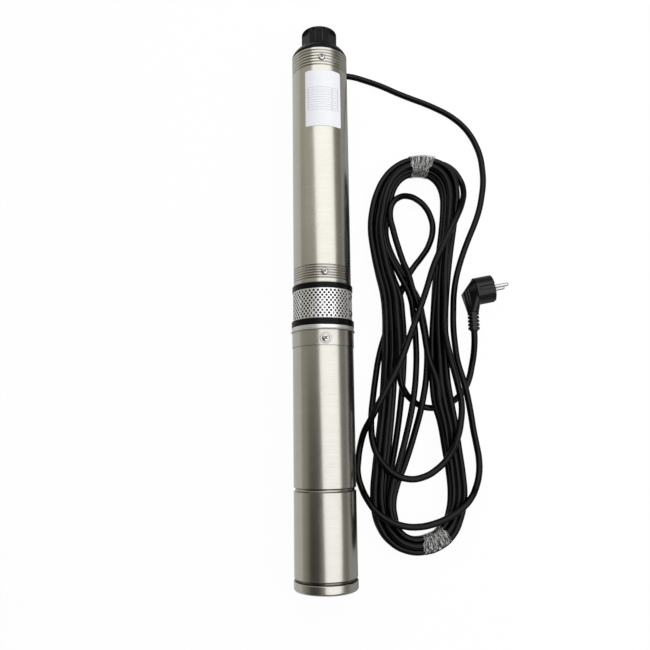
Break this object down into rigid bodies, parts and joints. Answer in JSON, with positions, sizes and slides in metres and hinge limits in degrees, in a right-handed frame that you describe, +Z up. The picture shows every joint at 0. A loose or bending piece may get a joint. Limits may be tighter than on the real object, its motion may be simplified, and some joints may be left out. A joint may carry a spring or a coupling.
{
  "type": "borehole submersible pump",
  "caption": "Slim stainless borehole pump with a threaded outlet head, perforated intake, motor, loose cable hank and angled mains plug.",
  "frame": {"origin": "on the floor under the middle of the pump, on the pump's plane of symmetry, cable left out", "axes": "+Y along the pump towards the outlet, +X towards the cable and plug, +Z up"},
  "size_m": [0.2829, 0.7168, 0.0944],
  "materials": {
    "stainless": "brushed",
    "bright_steel": "polished",
    "black_plastic": "satin",
    "cable_rubber": "satin",
    "seal_rubber": "matte",
    "core_steel": "satin",
    "casting": "matte",
    "copper": "satin",
    "cage_aluminium": "satin",
    "impeller_plastic": "satin",
    "film": "gloss",
    "capacitor_case": "satin"
  },
  "bodies": {
    "pump": {"bottom_cap": "stainless", "motor_shell": "stainless", "run_capacitor": "capacitor_case", "diaphragm": "seal_rubber", "lower_bracket": "casting", "o_rings": "seal_rubber", "stator_core": "core_steel", "stator_winding": "copper", "lower_race_outer": "bright_steel", "upper_race_outer": "bright_steel", "top_bracket": "stainless", "motor_screws": "bright_steel", "shaft_seal": "seal_rubber", "intake_bracket": "black_plastic", "bracket_bolts": "bright_steel", "intake_screen": "bright_steel", "pan_screws": "bright_steel", "pump_sleeve": "stainless", "bearing_spider": "black_plastic", "bearing_bush": "seal_rubber", "discharge_head": "black_plastic", "valve_seat": "seal_rubber", "cable_gland": "seal_rubber", "motor_lead": "cable_rubber", "cable_guard": "stainless", "plug_body": "black_plastic", "plug_boot": "cable_rubber", "plug_contacts": "bright_steel", "cord_run": "cable_rubber", "cord_hank": "cable_rubber", "cord_plug_lead": "cable_rubber", "film_ties": "film", "diffuser_1": "black_plastic", "diffuser_2": "black_plastic", "diffuser_3": "black_plastic", "diffuser_4": "black_plastic", "diffuser_5": "black_plastic", "diffuser_6": "black_plastic", "diffuser_7": "black_plastic", "diffuser_8": "black_plastic"},
    "rotor": {"motor_shaft": "bright_steel", "rotor_core": "core_steel", "rotor_cage": "cage_aluminium", "lower_race_inner": "bright_steel", "upper_race_inner": "bright_steel", "bearing_balls": "bright_steel", "sand_slinger": "seal_rubber", "coupling": "bright_steel", "pump_shaft": "bright_steel", "impeller_1": "impeller_plastic", "impeller_2": "impeller_plastic", "impeller_3": "impeller_plastic", "impeller_4": "impeller_plastic", "impeller_5": "impeller_plastic", "impeller_6": "impeller_plastic", "impeller_7": "impeller_plastic", "impeller_8": "impeller_plastic"},
    "valve": {"valve_poppet": "impeller_plastic"}
  },
  "joints": [
    {"name": "rotor_spin", "type": "hinge", "parent": "pump", "child": "rotor", "pos_m": [0, -0.15755, 0.04365], "axis": [0, 0.9997, 0.0258], "continuous": true},
    {"name": "valve_lift", "type": "slide", "parent": "pump", "child": "valve", "axis": [0, 0.9997, 0.0258], "range_m": [0, 0.008]}
  ]
}
